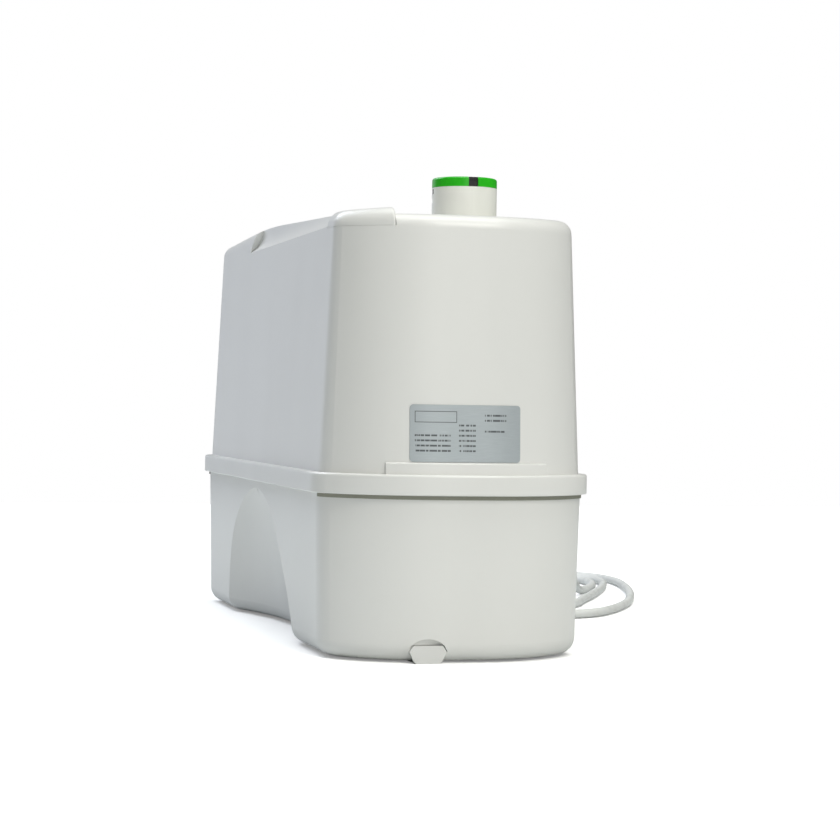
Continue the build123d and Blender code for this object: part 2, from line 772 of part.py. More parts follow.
def make_pump():
    """Volute, impeller, cutter and the slotted basket round it."""
    outlet_y = pump_y + scroll_radii[3] - outlet_half
    outlet_z = (volute_bottom + volute_top) / 2
    volute = extrude(scroll_face(volute_bottom), volute_top - volute_bottom)
    volute = fillet(volute.faces().sort_by(Axis.Z)[0].edges(), 2.5)
    chamber_low = volute_bottom + volute_wall
    chamber_high = volute_top - volute_wall
    volute -= cylinder_at(pump_x, pump_y, chamber_low, chamber_radius, chamber_high - chamber_low)
    volute -= cylinder_at(pump_x, pump_y, chamber_high, eye_radius, volute_wall)
    volute -= Pos(pump_x + 12.0, outlet_y, outlet_z) * Rot(0, 90, 0) * Cylinder(
        outlet_bore, spigot_x - pump_x - 12.0, align=(Align.CENTER, Align.CENTER, Align.MIN)
    )
    volute -= cylinder_at(spigot_x, spigot_y, outlet_z, outlet_bore, volute_top - outlet_z)
    volute -= Pos(spigot_x, spigot_y, outlet_z) * Sphere(outlet_bore)
    save("volute", volute)

    hub = cylinder_at(pump_x, pump_y, impeller_bottom, impeller_hub, impeller_top - impeller_bottom)
    plate = cylinder_at(pump_x, pump_y, impeller_bottom, impeller_radius, 2.5)
    impeller = hub + plate
    blade_height = impeller_top - impeller_bottom
    for number in range(4):
        blade = tube_at(impeller_radius / 2, 0, impeller_bottom, impeller_radius / 2, impeller_radius / 2 - 2.2, blade_height)
        blade &= box_between((0, 0, impeller_bottom), (impeller_radius, impeller_radius, impeller_top))
        blade = Pos(pump_x, pump_y, 0) * Rot(0, 0, 90 * number) * blade
        impeller += blade
    impeller -= cylinder_at(pump_x, pump_y, impeller_bottom, shaft_radius, blade_height)
    save("impeller", impeller)

    long = cutter_radius
    knife = make_face(
        [
            Line((9, -7), (long - 3, -8)),
            ThreePointArc((long - 3, -8), (long, -2), (long - 1, 5)),
            Line((long - 1, 5), (9, 7)),
            ThreePointArc((9, 7), (0, 11), (-9, 7)),
            Line((-9, 7), (-long + 3, 8)),
            ThreePointArc((-long + 3, 8), (-long, 2), (-long + 1, -5)),
            Line((-long + 1, -5), (-9, -7)),
            ThreePointArc((-9, -7), (0, -11), (9, -7)),
        ]
    )
    cutter = Pos(pump_x, pump_y, cutter_bottom) * extrude(knife, amount=cutter_thick)
    cutter += cylinder_at(pump_x, pump_y, cutter_bottom, 9.0, 12.0)
    cutter -= cylinder_at(pump_x, pump_y, cutter_bottom, shaft_radius, 12.0)
    save("cutter", cutter)

    basket = tube_at(pump_x, pump_y, volute_top, basket_outer, basket_outer - basket_wall, deck_bottom - volute_top)
    slot_height = deck_bottom - volute_top - 16.0
    pitch = 360.0 / (basket_slots + 4)
    for number in range(basket_slots):
        angle = 180.0 + pitch * (number + 2.5)
        slot = Rot(0, 0, angle) * Pos(basket_outer, 0, 0) * Box(
            basket_outer / 2, basket_slot, slot_height, align=(Align.CENTER, Align.CENTER, Align.MIN)
        )
        basket -= Pos(pump_x, pump_y, volute_top + 8.0) * slot
    mouth = Pos(pump_x - basket_outer, pump_y, volute_top + 22.0) * Box(
        basket_outer, 34.0, deck_bottom - volute_top - 30.0, align=(Align.CENTER, Align.CENTER, Align.MIN)
    )
    save("cutter_basket", basket - mouth)


def make_motor():
    """Housing, stator, windings, rotor, shaft, bearings, seal and end bell."""
    seal_hole = bearing_outer - bearing_seat
    flange = cylinder_at(pump_x, pump_y, rim_top, motor_flange, motor_flange_thick)
    can_bottom = rim_top + motor_flange_thick
    can = tube_at(pump_x, pump_y, can_bottom, motor_radius, motor_radius - motor_wall, motor_top - can_bottom)
    seat_top = can_bottom + bearing_height + 2.0
    seat = cylinder_at(pump_x, pump_y, can_bottom, bearing_outer + bearing_seat, seat_top - can_bottom)
    housing = flange + can + seat
    for number in range(3):
        height = can_bottom + 24.0 + number * 30.0
        housing += tube_at(pump_x, pump_y, height, motor_radius + 1.2, motor_radius - 1.0, 3.0)
    housing -= cylinder_at(pump_x, pump_y, rim_top, seal_hole, motor_flange_thick)
    housing -= cylinder_at(pump_x, pump_y, can_bottom, bearing_outer, seat_top - can_bottom)
    for x, y in motor_screw_places():
        housing -= cylinder_at(x, y, rim_top, motor_screw, motor_flange_thick)
    save("motor_housing", housing)

    bell_hub_low = motor_top - bearing_height - 2.0
    bell = cylinder_at(pump_x, pump_y, motor_top, motor_radius, bell_thick)
    bell = fillet(bell.faces().sort_by(Axis.Z)[-1].edges(), 2.0)
    bell += cylinder_at(pump_x, pump_y, bell_hub_low, bearing_outer + bearing_seat, motor_top - bell_hub_low)
    bell -= cylinder_at(pump_x, pump_y, bell_hub_low, bearing_outer, motor_top - bell_hub_low)
    save("motor_bell", bell)

    bearings = [
        tube_at(pump_x, pump_y, can_bottom, bearing_outer, shaft_radius + shaft_play, bearing_height),
        tube_at(
            pump_x,
            pump_y,
            motor_top - bearing_height,
            bearing_outer,
            shaft_radius + shaft_play,
            bearing_height,
        ),
    ]
    save("bearings", Compound(bearings))
    seal = tube_at(pump_x, pump_y, deck_bottom - 1.0, seal_hole, shaft_radius + shaft_play, motor_flange_thick + 4.5)
    save("shaft_seal", seal)

    shaft_bottom = impeller_bottom - 1.5
    shaft = cylinder_at(pump_x, pump_y, shaft_bottom, shaft_radius, motor_top - 0.5 - shaft_bottom)
    save("rotor_shaft", shaft)
    rotor = tube_at(pump_x, pump_y, rotor_bottom, rotor_radius, shaft_radius, rotor_height)
    rotor = chamfer(rotor.edges().filter_by(GeomType.CIRCLE).sort_by(SortBy.LENGTH)[-2:], 1.5)
    save("rotor_core", rotor)

    stator_low = rotor_bottom + (rotor_height - stator_height) / 2
    stator_inner = rotor_radius + air_gap
    stator_outer = motor_radius - motor_wall
    stator = tube_at(pump_x, pump_y, stator_low, stator_outer, stator_inner, stator_height)
    save("stator_core", stator)
    windings = []
    for bottom in (stator_low - winding_height, stator_low + stator_height):
        coil = tube_at(pump_x, pump_y, bottom, stator_outer - 3.0, stator_inner + 2.0, winding_height)
        far_face = coil.faces().sort_by(Axis.Z)[0 if bottom < stator_low else -1]
        windings.append(fillet(far_face.edges(), 2.0))
    save("stator_windings", Compound(windings))

    screws = []
    for x, y in motor_screw_places():
        shank = cylinder_at(x, y, deck_bottom, motor_screw, can_bottom - deck_bottom)
        head = Pos(x, y, can_bottom) * extrude(RegularPolygon(screw_head, 6), amount=screw_head_thick)
        screws.append(shank + head)
    save("motor_screws", Compound(screws))


def make_check_valve():
    """Riser from the volute, valve body, hinged flap and its pin."""
    riser_top = valve_seat - valve_seat_thick
    save(
        "riser_pipe",
        tube_at(spigot_x, spigot_y, volute_top, riser_outer, outlet_bore, riser_top - volute_top),
    )
    body_outer = spigot_inner_radius + valve_wall
    socket = tube_at(spigot_x, spigot_y, valve_bottom, riser_outer + 3.0, riser_outer, riser_top - valve_bottom)
    seat = tube_at(spigot_x, spigot_y, riser_top, body_outer, seat_bore, valve_seat_thick)
    chamber = tube_at(spigot_x, spigot_y, valve_seat, body_outer, spigot_inner_radius, valve_socket_top - valve_seat)
    bead = tube_at(spigot_x, spigot_y, valve_socket_top - 6.0, body_outer + 1.5, spigot_inner_radius, 6.0)
    body = socket + seat + chamber + bead
    hinge_x = spigot_x - flap_hinge
    hinge_z = valve_seat + flap_hinge_height
    pin_start = spigot_y - pin_length / 2
    pin = rod_along_y(hinge_x, hinge_z, pin_start, pin_start + pin_length, pin_radius)
    save("valve_body", body - pin)
    save("flap_pin", pin)

    disc = cylinder_at(spigot_x, spigot_y, valve_seat + flap_lift, flap_radius, flap_thick)
    disc = fillet(disc.faces().sort_by(Axis.Z)[-1].edges(), 0.8)
    half = knuckle_length / 2
    knuckle = rod_along_y(hinge_x, hinge_z, spigot_y - half, spigot_y + half, knuckle_radius)
    arm = box_between(
        (hinge_x, spigot_y - half + 1.5, valve_seat + 1.2),
        (spigot_x - flap_radius + 8.0, spigot_y + half - 1.5, valve_seat + flap_hinge_height + 0.6),
    )
    flap = disc + arm + knuckle
    flap -= rod_along_y(hinge_x, hinge_z, spigot_y - half, spigot_y + half, pin_radius + shaft_play)
    save("valve_flap", flap)


def make_level_switch():
    """Pressure bell that hangs into the tank, its membrane, plunger and switch."""
    bore = bell_tube - bell_tube_wall
    bell = tube_at(switch_x, switch_y, bell_tube_bottom, bell_tube, bore, rim_top - bell_tube_bottom)
    bell += tube_at(switch_x, switch_y, rim_top, switch_radius, bore, 3.0)
    cup_bottom = rim_top + 3.0
    membrane_bottom = rim_top + membrane_height
    bell += tube_at(
        switch_x, switch_y, cup_bottom, switch_radius, switch_radius - 2.5, membrane_bottom - cup_bottom
    )
    save("pressure_bell", bell)
    save("switch_membrane", cylinder_at(switch_x, switch_y, membrane_bottom, switch_radius, membrane_thick))

    low = membrane_bottom + membrane_thick
    box_low = low + switch_cap
    length, width, height = switch_box
    stem_top = box_low + 3.0
    housing = tube_at(switch_x, switch_y, low, switch_radius, plunger_head + 2.0, switch_cap)
    housing += box_between(
        (switch_x - length / 2, switch_y - width / 2, box_low),
        (switch_x + length / 2, switch_y + width / 2, box_low + height),
    )
    housing -= cylinder_at(
        switch_x, switch_y, box_low, plunger_radius + shaft_play, stem_top - box_low + plunger_travel + 0.5
    )
    for side in (-1, 1):
        housing += box_between(
            (switch_x + side * 8.0 - 3.0, switch_y - 0.4, box_low + height),
            (switch_x + side * 8.0 + 3.0, switch_y + 0.4, box_low + height + 7.0),
        )
    save("switch_housing", housing)
    head_low = low + 0.1
    plunger = cylinder_at(switch_x, switch_y, head_low, plunger_head, 1.5)
    plunger += cylinder_at(switch_x, switch_y, head_low, plunger_radius, stem_top - head_low)
    save("switch_plunger", plunger)


def make_electrics():
    """Run capacitor on the deck and the terminal box on the motor."""
    can = cylinder_at(capacitor_x, capacitor_y, rim_top, capacitor_radius, capacitor_height)
    can = fillet(can.edges().filter_by(GeomType.CIRCLE), 1.5)
    top = rim_top + capacitor_height
    for side in (-1, 1):
        can += box_between(
            (capacitor_x + side * 5.0 - 0.4, capacitor_y - 3.0, top - 1.0),
            (capacitor_x + side * 5.0 + 0.4, capacitor_y + 3.0, top + 8.0),
        )
    save("run_capacitor", can)

    low = motor_top + bell_thick
    x0 = pump_x - terminal_length / 2
    y0 = pump_y - terminal_width / 2
    box = box_between((x0, y0, low), (x0 + terminal_length, y0 + terminal_width, low + terminal_height))
    box = fillet(box.edges().filter_by(Axis.Z), 4.0)
    box -= box_between(
        (x0 + terminal_wall, y0 + terminal_wall, low + terminal_wall),
        (x0 + terminal_length - terminal_wall, y0 + terminal_width - terminal_wall, low + terminal_height),
    )
    save("terminal_box", box)
    lid = box_between(
        (x0, y0, low + terminal_height), (x0 + terminal_length, y0 + terminal_width, low + terminal_height + 2.0)
    )
    save("terminal_lid", fillet(lid.edges().filter_by(Axis.Z), 4.0))


def make_gland():
    """Cable gland through the cover's wall, with its nut inside and a tapered strain relief."""
    wall_y = body_width / 2 - cover_inset(gland_height)
    inner_y = wall_y - cover_wall
    shank = rod_along_y(gland_x, gland_height, inner_y - 6.0, gland_reach - 2.0, gland_radius - 2.6)
    hexagon = Pos(gland_x, wall_y + 0.6, gland_height) * Rot(-90, 0, 0) * extrude(
        RegularPolygon(gland_radius + 1.5, 6), amount=6.0
    )
    nut_start = wall_y + 6.6
    dome = rod_along_y(gland_x, gland_height, nut_start, gland_reach, gland_radius)
    dome = fillet(dome.faces().sort_by(Axis.Y)[-1].edges(), 3.0)
    bore = rod_along_y(gland_x, gland_height, inner_y - 10.0, gland_reach + 1.0, cord_diameter / 2)
    save("cable_gland", shank + hexagon + dome - bore)
    nut = Pos(gland_x, inner_y - 4.6, gland_height) * Rot(-90, 0, 0) * extrude(
        RegularPolygon(gland_radius + 1.5, 6), amount=4.0
    )
    save("gland_nut", nut - rod_along_y(gland_x, gland_height, inner_y - 10.0, inner_y, gland_radius - 2.6))
    profile = [
        (0, gland_reach),
        (cord_diameter / 2 + 2.6, gland_reach),
        (cord_diameter / 2 + 0.9, relief_reach),
        (0, relief_reach),
    ]
    face = make_face(Polyline(*[(r, y, 0) for r, y in profile], close=True))
    save("strain_relief", Pos(gland_x, 0, gland_height) * revolve(face, Axis.Y))


def make_plate():
    """Bare rating plate, which follows the curve and the lean of the cover's end."""
    low = flange_top
    high = ridge_height
    skin = walls_between(low, cover_inset(low) - plate_thick, high, cover_inset(high) - plate_thick)
    skin -= walls_between(low, cover_inset(low) - plate_glue, high, cover_inset(high) - plate_glue)
    outline = Plane(origin=(0, plate_y, plate_centre), x_dir=(0, 1, 0), z_dir=(1, 0, 0)) * RectangleRounded(
        plate_width, plate_height, plate_corner
    )
    save("rating_plate", skin & extrude(outline, amount=body_length, dir=(1, 0, 0)))


# The lead's route, chosen by hand: out of the relief, down, then three open rounds on the floor.
cord_points = [
    (gland_x, relief_reach, gland_height),
    (gland_x, 150, gland_height),
    (gland_x - 2, 175, 132),
    (gland_x - 6, 190, 98),
    (gland_x - 12, 197, 58),
    (gland_x - 27, 204, 23),
    (gland_x - 53, 217, cord_rest),
    (gland_x - 86, 239, cord_rest),
    (gland_x - 128, 256, cord_rest),
    (gland_x - 170, 262, cord_rest),
    (gland_x - 204, 245, cord_rest),
    (gland_x - 216, 210, cord_rest),
    (gland_x - 202, 176, cord_rest),
    (gland_x - 168, 157, cord_rest),
    (gland_x - 124, 146, cord_rest),
    (gland_x - 76, 132.5, cord_rest),
    (gland_x - 32, 121, cord_rest),
    (gland_x + 8, 113.5, cord_rest),
    (gland_x + 43.4, 112.3, cord_rest),
    (gland_x + 64.8, 129.6, cord_rest),
    (gland_x + 70.5, 156.5, cord_rest),
    (gland_x + 58, 181, cord_rest),
    (gland_x + 24, 196, cord_rest),
    (gland_x - 20, 219, cord_rest),
    (gland_x - 68, 241, cord_rest),
    (gland_x - 116, 261, cord_rest),
    (gland_x - 160, 274, cord_rest),
    (gland_x - 201, 270, cord_rest),
    (gland_x - 227, 243, cord_rest),
    (gland_x - 234, 205, cord_rest),
    (gland_x - 218, 171, cord_rest),
    (gland_x - 184, 146, cord_rest),
    (gland_x - 136, 129, cord_rest),
    (gland_x - 84, 113, cord_rest),
    (gland_x - 30, 102.5, cord_rest),
    (gland_x + 24, 98, cord_rest),
    (gland_x + 72, 97, cord_rest),
    (gland_x + 110, 98, cord_rest),
    (gland_x + 135, 115, cord_rest),
    (gland_x + 144, 144, cord_rest),
    (gland_x + 133, 171, cord_rest),
    (gland_x + 109, 190, cord_rest),
    (gland_x + 80, 208, cord_rest),
    (gland_x + 43, 227, cord_rest),
    (gland_x + 1, 243, cord_rest),
    (gland_x - 42, 258, cord_rest),
    (gland_x - 100, 274, cord_rest),
    (gland_x - 158, 286, cord_rest),
    (gland_x - 206, 284, cord_rest),
    (gland_x - 238, 259, cord_rest),
    (gland_x - 252, 223, 7),
    (gland_x - 255, 190, plug_rest),
    (gland_x - 255, 160, plug_rest),
]


def make_cord():
    """Tube of straight runs joined by tangent arcs, each as large as its two runs allow."""
    points = [Vector(*p) for p in cord_points]
    radii = []
    for before, here, after in zip(points, points[1:], points[2:]):
        turn = math.radians((here - before).get_angle(after - here))
        shorter = min((here - before).length, (after - here).length)
        radii.append(0.45 * shorter / math.tan(turn / 2))
    path = FilletPolyline(*points, radius=radii)
    print("cord least radius", round(min(radii), 1), "length", round(path.length, 1))
    print("cord radii", [round(r) for r in radii])
    start = Plane(origin=points[0], z_dir=points[1] - points[0])
    cord = sweep(start * Circle(cord_diameter / 2), path=path)
    print("cord volume over section by length", round(cord.volume / (math.pi * cord_diameter**2 / 4 * path.length), 4))
    save("power_cord", cord)


def make_plug():
    """Two-pin moulded plug, lying on the floor with a tapered relief on the lead."""
    end = Vector(*cord_points[-1])
    before = Vector(*cord_points[-2])
    heading = Vector(end.X - before.X, end.Y - before.Y, 0)
    place = Plane(origin=end, z_dir=heading, x_dir=(0, 0, 1))
    relief_length = 24.0
    half = cord_diameter / 2
    profile = [
        (0, 0),
        (half + 1.2, 0),
        (half + 3.2, relief_length),
        (plug_radius * 0.62, relief_length + 4.0),
        (plug_radius, relief_length + plug_length * 0.55),
        (plug_radius, relief_length + plug_length),
        (0, relief_length + plug_length),
    ]
    face = make_face(Polyline(*[(r, 0, z) for r, z in profile], close=True))
    body = revolve(face, Axis.Z)
    body = fillet(body.faces().sort_by(Axis.Z)[-1].edges(), 2.0)
    save("plug_body", place * body)
    pins = []
    top = relief_length + plug_length
    for side in (-1, 1):
        pin = cylinder_at(0, side * plug_pin_spacing / 2, top, plug_pin, plug_pin_length)
        pins.append(place * fillet(pin.faces().sort_by(Axis.Z)[-1].edges(), 1.6))
    save("plug_pins", Compound(pins))


make_tank()
make_feet_and_brackets()
make_cover()
make_gasket()
make_filter()
make_spigot()
make_closet_inlet()
make_drain_plug()
make_deck()
make_pump()
make_motor()
make_check_valve()
make_level_switch()
make_electrics()
make_gland()
make_plate()
make_cord()
make_plug()
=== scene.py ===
import math

import bmesh
import bpy
from mathutils import Matrix, Vector


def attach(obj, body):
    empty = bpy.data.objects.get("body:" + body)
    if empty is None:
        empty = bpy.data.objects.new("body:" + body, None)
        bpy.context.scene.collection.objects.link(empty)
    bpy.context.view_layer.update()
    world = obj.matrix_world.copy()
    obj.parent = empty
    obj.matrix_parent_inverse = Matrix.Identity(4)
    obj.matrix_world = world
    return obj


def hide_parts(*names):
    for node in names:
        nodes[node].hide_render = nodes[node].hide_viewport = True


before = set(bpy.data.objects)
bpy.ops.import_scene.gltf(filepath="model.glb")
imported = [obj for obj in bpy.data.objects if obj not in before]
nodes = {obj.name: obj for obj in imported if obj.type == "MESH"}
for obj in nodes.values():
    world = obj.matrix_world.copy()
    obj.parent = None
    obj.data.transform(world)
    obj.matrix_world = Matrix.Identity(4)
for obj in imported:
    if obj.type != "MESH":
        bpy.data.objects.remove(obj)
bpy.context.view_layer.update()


# The photographer's camera stands off the near end of the unit, a little to its left, almost level
# with the middle of the cover. Its angles and distance come from the outline in the photograph.
def linked(name, data):
    """A new object for a mesh, curve, light or camera, in the scene at the origin."""
    made = bpy.data.objects.new(name, data)
    bpy.context.scene.collection.objects.link(made)
    return made


camera_place = Vector((1.5725, -0.3695, 0.1516))
camera_yaw = math.radians(14.24)
camera_pitch = math.radians(-0.46)
camera_roll = math.radians(0.93)
camera_focal = 2400.0
photo_width = 840.0
sensor_width = 36.0
camera_reach = 50

ahead = Vector(
    (
        -math.cos(camera_yaw) * math.cos(camera_pitch),
        math.sin(camera_yaw) * math.cos(camera_pitch),
        math.sin(camera_pitch),
    )
)
level_right = Vector((math.sin(camera_yaw), math.cos(camera_yaw), 0))
level_up = level_right.cross(ahead)
right = math.cos(camera_roll) * level_right + math.sin(camera_roll) * level_up
up = math.cos(camera_roll) * level_up - math.sin(camera_roll) * level_right
camera_data = bpy.data.cameras.new("photo_camera")
camera_data.sensor_width = sensor_width
camera_data.lens = sensor_width * camera_focal / photo_width
camera_data.clip_end = camera_reach
camera = linked("photo_camera", camera_data)
camera.matrix_world = Matrix.Translation(camera_place) @ Matrix((right, up, -ahead)).transposed().to_4x4()
bpy.context.scene.camera = camera


# The mains lead is a round two-core cable in a light grey sheath. It leaves the gland, drops to the
# floor behind the unit and lies there in open rounds. Its moulded plug lies past their far end.
class Value:
    """A number or colour inside a material. Arithmetic on it adds Math nodes."""

    def __init__(self, finish, socket):
        self.finish = finish
        self.socket = socket

    def maths(self, operation, *terms):
        return self.finish.node("Math", {"operation": operation}, dict(enumerate(terms)))

    def __add__(self, other):
        return self.maths("ADD", self, other)

    def __radd__(self, other):
        return self.maths("ADD", other, self)

    def __sub__(self, other):
        return self.maths("SUBTRACT", self, other)

    def __rsub__(self, other):
        return self.maths("SUBTRACT", other, self)

    def __mul__(self, other):
        return self.maths("MULTIPLY", self, other)

    def __rmul__(self, other):
        return self.maths("MULTIPLY", other, self)

    def clipped(self, low, high):
        """0 below low, 1 above high, and smooth between."""
        settings = {"interpolation_type": "SMOOTHSTEP"}
        return self.finish.node("MapRange", settings, {"Value": self, "From Min": low, "From Max": high})

    def between(self, low, high, soft=0.00005):
        """1 from low to high and 0 outside, with edges a tenth of a millimetre soft."""
        return self.clipped(low - soft, low + soft) * (1 - self.clipped(high - soft, high + soft))


class Finish:
    """One surface finish, as a node material."""

    def __init__(self, name, **steady):
        self.material = bpy.data.materials.new(name)
        self.material.use_nodes = True
        self.tree = self.material.node_tree
        self.shader = self.tree.nodes["Principled BSDF"]
        for socket, value in steady.items():
            self.shader.inputs[socket.replace("_", " ")].default_value = value

    def node(self, kind, settings, sockets, output=0):
        """Adds a node, sets its settings, fills its sockets and gives back one of its outputs."""
        made = self.tree.nodes.new("ShaderNode" + kind)
        for name, value in settings.items():
            setattr(made, name, value)
        for name, value in sockets.items():
            self.feed(made.inputs[name], value)
        return Value(self, made.outputs[output])

    def feed(self, socket, value):
        """Links a Value to a socket, or sets a plain number or colour on it."""
        if isinstance(value, Value):
            self.tree.links.new(value.socket, socket)
        else:
            socket.default_value = value

    def place(self, scale=(1, 1, 1)):
        """The point on the object in metres, times a scale along each axis."""
        point = self.node("TexCoord", {}, {}, output=3)
        return self.node("Mapping", {}, {"Vector": point, "Scale": scale})

    def noise(self, scale, detail=2.0, stretch=(1, 1, 1)):
        """Soft random values about 0.5, with scale features to the metre."""
        sockets = {"Vector": self.place(stretch), "Scale": scale, "Detail": detail, "Roughness": 0.55}
        return self.node("TexNoise", {}, sockets)

    def mix(self, share, first, second):
        """A colour between two, by a share from 0 to 1."""
        return self.node("Mix", {"data_type": "RGBA"}, {0: share, 6: first, 7: second}, output=2)

    def relief(self, height, depth):
        """Gives the surface a small relief, depth metres high."""
        normal = self.node("Bump", {}, {"Strength": 1.0, "Distance": depth, "Height": height})
        self.feed(self.shader.inputs["Normal"], normal)

    def colour(self, value):
        self.feed(self.shader.inputs["Base Color"], value)

    def roughness(self, value):
        self.feed(self.shader.inputs["Roughness"], value)

    def cover(self, *names):
        """Puts this finish on CAD nodes."""
        for name in names:
            mesh = nodes[name].data
            mesh.materials.clear()
            mesh.materials.append(self.material)


def sheath_finish():
    sheath = Finish("lead_sheath", Coat_Weight=0.0)
    grime = sheath.noise(60.0, 3.0)
    sheath.colour(sheath.mix(grime.clipped(0.45, 0.8), (0.74, 0.75, 0.74, 1), (0.62, 0.63, 0.62, 1)))
    sheath.roughness(0.38 + 0.12 * grime)
    sheath.relief(sheath.noise(1400.0, 1.0), 0.00003)
    return sheath


lead_diameter = 0.0064
lead_rest = 0.0033
plug_rest = 0.0191
lead_drop = [
    (-0.176, 0.124, 0.150),
    (-0.176, 0.150, 0.150),
    (-0.178, 0.175, 0.132),
    (-0.182, 0.190, 0.098),
    (-0.188, 0.197, 0.058),
    (-0.203, 0.204, 0.023),
]
lead_rounds = [
    (-0.229, 0.217),
    (-0.262, 0.239),
    (-0.304, 0.256),
    (-0.346, 0.262),
    (-0.380, 0.245),
    (-0.392, 0.210),
    (-0.378, 0.176),
    (-0.344, 0.157),
    (-0.300, 0.146),
    (-0.252, 0.1325),
    (-0.208, 0.121),
    (-0.168, 0.1135),
    (-0.1326, 0.1123),
    (-0.1112, 0.1296),
    (-0.1055, 0.1565),
    (-0.118, 0.181),
    (-0.152, 0.196),
    (-0.196, 0.219),
    (-0.244, 0.241),
    (-0.292, 0.261),
    (-0.336, 0.274),
    (-0.377, 0.270),
    (-0.403, 0.243),
    (-0.410, 0.205),
    (-0.394, 0.171),
    (-0.360, 0.146),
    (-0.312, 0.129),
    (-0.260, 0.113),
    (-0.206, 0.1025),
    (-0.152, 0.098),
    (-0.104, 0.097),
    (-0.066, 0.098),
    (-0.041, 0.115),
    (-0.032, 0.144),
    (-0.043, 0.171),
    (-0.067, 0.190),
    (-0.096, 0.208),
    (-0.133, 0.227),
    (-0.175, 0.243),
    (-0.218, 0.258),
    (-0.276, 0.274),
    (-0.334, 0.286),
    (-0.382, 0.284),
    (-0.414, 0.259),
]
lead_end = [
    (-0.428, 0.223, 0.007),
    (-0.431, 0.190, plug_rest),
    (-0.431, 0.160, plug_rest),
]
lead_points = lead_drop + [(x, y, lead_rest) for x, y in lead_rounds] + lead_end
lead_curve = bpy.data.curves.new("mains_lead", "CURVE")
lead_curve.dimensions = "3D"
lead_spline = lead_curve.splines.new("NURBS")
lead_spline.points.add(len(lead_points) - 1)
for control, point in zip(lead_spline.points, lead_points):
    control.co = (*point, 1)
lead_spline.order_u = 3
lead_spline.use_endpoint_u = True
lead_spline.resolution_u = 10
lead_curve.bevel_depth = lead_diameter / 2
lead_curve.bevel_resolution = 4
lead = linked("mains_lead", lead_curve)
sheath = sheath_finish()
lead_curve.materials.append(sheath.material)
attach(lead, "unit")
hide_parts("power_cord")
sheath.cover("plug_body", "strain_relief")


# The tank and the cover are injection moulded in one glossy white plastic. The cover's skirt laps the
# tank's rim, and the filter cap fills one corner of the top. The small fittings are slightly greyer.
def toned(tint, share):
    """A colour made darker or lighter by a share."""
    return tuple(share * channel for channel in tint[:3]) + (1,)


def moulded_finish(name, tint):
    """Glossy moulded plastic: a faint flow in its colour and a barely wavy skin."""
    white = Finish(name, Specular_IOR_Level=0.5, IOR=1.5)
    flow = white.noise(9.0, 2.0, (1, 1, 0.4))
    white.colour(white.mix(flow.clipped(0.35, 0.75), tint, toned(tint, 0.965)))
    dust = white.noise(240.0, 3.0)
    white.roughness(0.27 + 0.10 * dust)
    white.relief(white.noise(700.0, 2.0) + 3.0 * white.noise(38.0, 1.0), 0.00002)
    return white


shell_white = moulded_finish("shell_white", (0.80, 0.80, 0.785, 1))
shell_white.cover("cover", "filter_cap")
fitting_white = moulded_finish("fitting_white", (0.76, 0.76, 0.75, 1))
fitting_white.cover("floor_brackets", "switch_plunger", "run_capacitor")


# The tank's long side is drawn in to an arch that clears the foot of the closet. The arch is moulded
# with the tank, 234 mm wide at the foot, and closes in a round top just under the skirt.
# The solid's arch is turned about an upright axis, and its radius draws in with height, as the wall does.
arch_middle = -0.014
arch_axis = -0.4939
arch_radius = 0.435
radius_draw = 0.1365
radius_bend = 0.813
wall_reach = 0.4145
wall_draw = 0.0217
arch_foot = 0.0105
arch_foot_half = 0.1297
arch_top = 0.0965
arch_deepest = -0.05
arch_margin = 0.0004
# The moulded arch has its own middle and half width, which closes at a height.
moulded_middle = 0.002
moulded_shift = 0.0115
shift_span = 0.12
moulded_half = 0.117
moulded_top = 0.095
moulded_fullness = 1.45
tiny = 0.000001
# Towards its top the arch fades into the side wall, and its crown comes down.
side_foot = -0.07932
side_lean = 0.0225
fade_from = 0.083
fade_over = 0.013
crown_from = 0.05
crown_over = 0.046
crown_drop = 0.0035
normal_top = 0.086


def arch_at(height):
    """The solid arch's radius and half width at a height, and the middle and half width as moulded."""
    radius = arch_radius - radius_draw * height - radius_bend * height**2
    solid = math.sqrt(max(radius**2 - (wall_reach - wall_draw * height) ** 2, tiny / 10))
    middle = moulded_middle - moulded_shift * math.sin(math.pi * height / shift_span) ** 2
    half = moulded_half * math.sqrt(max(1 - (height / moulded_top) ** moulded_fullness, tiny))
    return radius, solid, middle, half


def moulded_x(x, height):
    """Where a point of the solid arch lies along the tank."""
    solid, middle, half = arch_at(height)[1:]
    return middle + (x - arch_middle) * half / solid


def on_arch(point):
    """Whether a corner of the tank's mesh lies on the arch."""
    x, y, z = point
    if z > arch_top or y > arch_deepest:
        return False
    if z < arch_foot:
        return abs(x - arch_middle) < arch_foot_half
    return abs(math.hypot(x - arch_middle, y - arch_axis) - arch_at(z)[0]) < arch_margin


